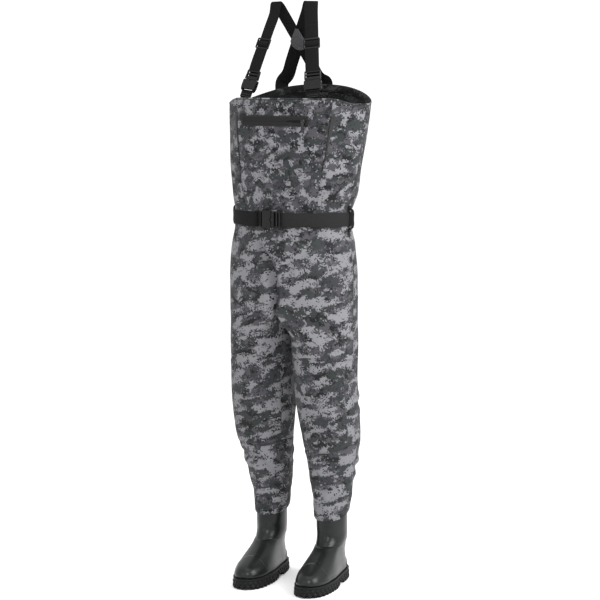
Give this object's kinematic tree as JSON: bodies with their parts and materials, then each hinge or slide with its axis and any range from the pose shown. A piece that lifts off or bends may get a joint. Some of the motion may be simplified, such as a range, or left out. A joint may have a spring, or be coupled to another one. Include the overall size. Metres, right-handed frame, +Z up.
{
  "type": "chest waders",
  "caption": "Chest waders with boot feet: a camouflage bib and legs, crossed shoulder straps with side-release buckles, a waist belt, a chest zip and hinged knees.",
  "frame": {"origin": "on the floor, under the middle of the bounding box", "axes": "+Z up, the waders face -Y, and the wearer's left is +X"},
  "size_m": [0.418, 0.3233, 1.629],
  "materials": {
    "camo_cloth": "matte woven, printed grey and black block camouflage",
    "camo_patch": "matte woven, same camouflage, heavier weave",
    "lining": "matte black lining",
    "webbing": "ribbed black webbing",
    "buckle_plastic": "moulded black acetal",
    "yoke_leather": "grey grained leather",
    "boot_rubber": "semi-gloss moulded dark grey",
    "outsole_rubber": "matte black lugged",
    "insole_felt": "matte felt",
    "zip_tape": "coated water-resistant tape",
    "zip_metal": "black enamelled"
  },
  "bodies": {
    "root": {"bib_front_panel": "camo_cloth", "bib_side_panel_left": "camo_cloth", "bib_side_panel_right": "camo_cloth", "bib_back_panel": "camo_cloth", "hem_binding": "camo_patch", "crotch_gusset": "camo_patch", "left_leg_front_panel": "camo_cloth", "left_leg_back_panel": "camo_cloth", "left_knee_section": "camo_cloth", "left_knee_patch": "camo_patch", "left_handwarmer_pocket": "lining", "left_front_anchor": "webbing", "left_shoulder_buckle_socket": "buckle_plastic", "left_shoulder_strap": "webbing", "right_leg_front_panel": "camo_cloth", "right_leg_back_panel": "camo_cloth", "right_knee_section": "camo_cloth", "right_knee_patch": "camo_patch", "right_handwarmer_pocket": "lining", "right_front_anchor": "webbing", "right_shoulder_buckle_socket": "buckle_plastic", "right_shoulder_strap": "webbing", "back_yoke_outer": "yoke_leather", "back_yoke_inner": "yoke_leather", "chest_zip_tape": "zip_tape", "chest_pocket_bag": "lining", "belt_webbing": "webbing", "belt_buckle_socket": "buckle_plastic", "belt_loop_left": "webbing", "belt_loop_right": "webbing", "belt_loop_back": "webbing"},
    "left_lower_leg": {"left_calf_front_panel": "camo_cloth", "left_calf_back_panel": "camo_cloth", "left_boot_upper": "boot_rubber", "left_toe_cap": "boot_rubber", "left_heel_counter": "boot_rubber", "left_insole": "insole_felt", "left_outsole": "outsole_rubber"},
    "left_strap_end": {"left_shoulder_buckle_plug": "buckle_plastic", "left_adjust_loop": "webbing"},
    "left_buckle_arm_inner": {"left_shoulder_buckle_arm_inner": "buckle_plastic"},
    "left_buckle_arm_outer": {"left_shoulder_buckle_arm_outer": "buckle_plastic"},
    "left_strap_slider": {"left_strap_slider": "buckle_plastic"},
    "right_lower_leg": {"right_calf_front_panel": "camo_cloth", "right_calf_back_panel": "camo_cloth", "right_boot_upper": "boot_rubber", "right_toe_cap": "boot_rubber", "right_heel_counter": "boot_rubber", "right_insole": "insole_felt", "right_outsole": "outsole_rubber"},
    "right_strap_end": {"right_shoulder_buckle_plug": "buckle_plastic", "right_adjust_loop": "webbing"},
    "right_buckle_arm_inner": {"right_shoulder_buckle_arm_inner": "buckle_plastic"},
    "right_buckle_arm_outer": {"right_shoulder_buckle_arm_outer": "buckle_plastic"},
    "right_strap_slider": {"right_strap_slider": "buckle_plastic"},
    "belt_strap_end": {"belt_buckle_plug": "buckle_plastic"},
    "belt_arm_lower": {"belt_buckle_arm_lower": "buckle_plastic"},
    "belt_arm_upper": {"belt_buckle_arm_upper": "buckle_plastic"},
    "zip_slider": {"zip_slider": "zip_metal"},
    "zip_pull": {"zip_pull": "zip_metal"}
  },
  "joints": [
    {"name": "left_knee", "type": "hinge", "parent": "root", "child": "left_lower_leg", "pos_m": [0.09262, 0.05404, 0.51], "axis": [1, 0, 0], "range_deg": [0, 75], "deforming": ["left_knee_section", "left_knee_patch"]},
    {"name": "right_knee", "type": "hinge", "parent": "root", "child": "right_lower_leg", "pos_m": [-0.10938, 0.05404, 0.51], "axis": [1, 0, 0], "range_deg": [0, 75], "deforming": ["right_knee_section", "right_knee_patch"]},
    {"name": "left_buckle_release", "type": "slide", "parent": "root", "child": "left_strap_end", "axis": [-0.1899, 0.3303, 0.9246], "range_m": [0, 0.03], "deforming": ["left_shoulder_strap"]},
    {"name": "left_buckle_arm_inner_pinch", "type": "hinge", "parent": "left_strap_end", "child": "left_buckle_arm_inner", "pos_m": [0.07241, -0.06402, 1.41081], "axis": [0.1834, -0.9132, 0.3639], "range_deg": [0, 6], "stiffness_Nm_per_rad": 0.5},
    {"name": "left_buckle_arm_outer_pinch", "type": "hinge", "parent": "left_strap_end", "child": "left_buckle_arm_outer", "pos_m": [0.10327, -0.05638, 1.41442], "axis": [-0.1834, 0.9132, -0.3639], "range_deg": [0, 6], "stiffness_Nm_per_rad": 0.5},
    {"name": "left_strap_adjust", "type": "slide", "parent": "left_strap_end", "child": "left_strap_slider", "axis": [-0.1899, 0.3303, 0.9246], "range_m": [-0.01, 0.05], "deforming": ["left_adjust_loop"]},
    {"name": "right_buckle_release", "type": "slide", "parent": "root", "child": "right_strap_end", "axis": [0.1899, 0.3303, 0.9246], "range_m": [0, 0.03], "deforming": ["right_shoulder_strap"]},
    {"name": "right_buckle_arm_outer_pinch", "type": "hinge", "parent": "right_strap_end", "child": "right_buckle_arm_outer", "pos_m": [-0.12003, -0.04948, 1.41442], "axis": [-0.1834, -0.9132, 0.3639], "range_deg": [0, 6], "stiffness_Nm_per_rad": 0.5},
    {"name": "right_buckle_arm_inner_pinch", "type": "hinge", "parent": "right_strap_end", "child": "right_buckle_arm_inner", "pos_m": [-0.08917, -0.05711, 1.41081], "axis": [0.1834, 0.9132, -0.3639], "range_deg": [0, 6], "stiffness_Nm_per_rad": 0.5},
    {"name": "right_strap_adjust", "type": "slide", "parent": "right_strap_end", "child": "right_strap_slider", "axis": [0.1899, 0.3303, 0.9246], "range_m": [-0.01, 0.05], "deforming": ["right_adjust_loop"]},
    {"name": "belt_release", "type": "slide", "parent": "root", "child": "belt_strap_end", "axis": [1, 0, 0], "range_m": [0, 0.03], "deforming": ["belt_webbing"]},
    {"name": "belt_arm_upper_pinch", "type": "hinge", "parent": "belt_strap_end", "child": "belt_arm_upper", "pos_m": [-0.01788, -0.10174, 1.051], "axis": [0, -1, 0], "range_deg": [0, 6], "stiffness_Nm_per_rad": 0.5},
    {"name": "belt_arm_lower_pinch", "type": "hinge", "parent": "belt_strap_end", "child": "belt_arm_lower", "pos_m": [-0.01788, -0.10174, 1.019], "axis": [0, 1, 0], "range_deg": [0, 6], "stiffness_Nm_per_rad": 0.5},
    {"name": "zip_travel", "type": "hinge", "parent": "root", "child": "zip_slider", "pos_m": [0.00271, 0.45611, 1.303], "axis": [0, 0, -1], "range_deg": [0, 18.53]},
    {"name": "zip_pull_swing", "type": "hinge", "parent": "zip_slider", "child": "zip_pull", "pos_m": [0.07584, -0.09839, 1.305], "axis": [-0.9914, -0.1308, 0], "range_deg": [0, 150]}
  ],
  "couplings": [
    {"joint": "left_buckle_arm_outer_pinch", "follows": "left_buckle_arm_inner_pinch", "ratio": 1},
    {"joint": "right_buckle_arm_inner_pinch", "follows": "right_buckle_arm_outer_pinch", "ratio": 1},
    {"joint": "belt_arm_lower_pinch", "follows": "belt_arm_upper_pinch", "ratio": 1}
  ]
}
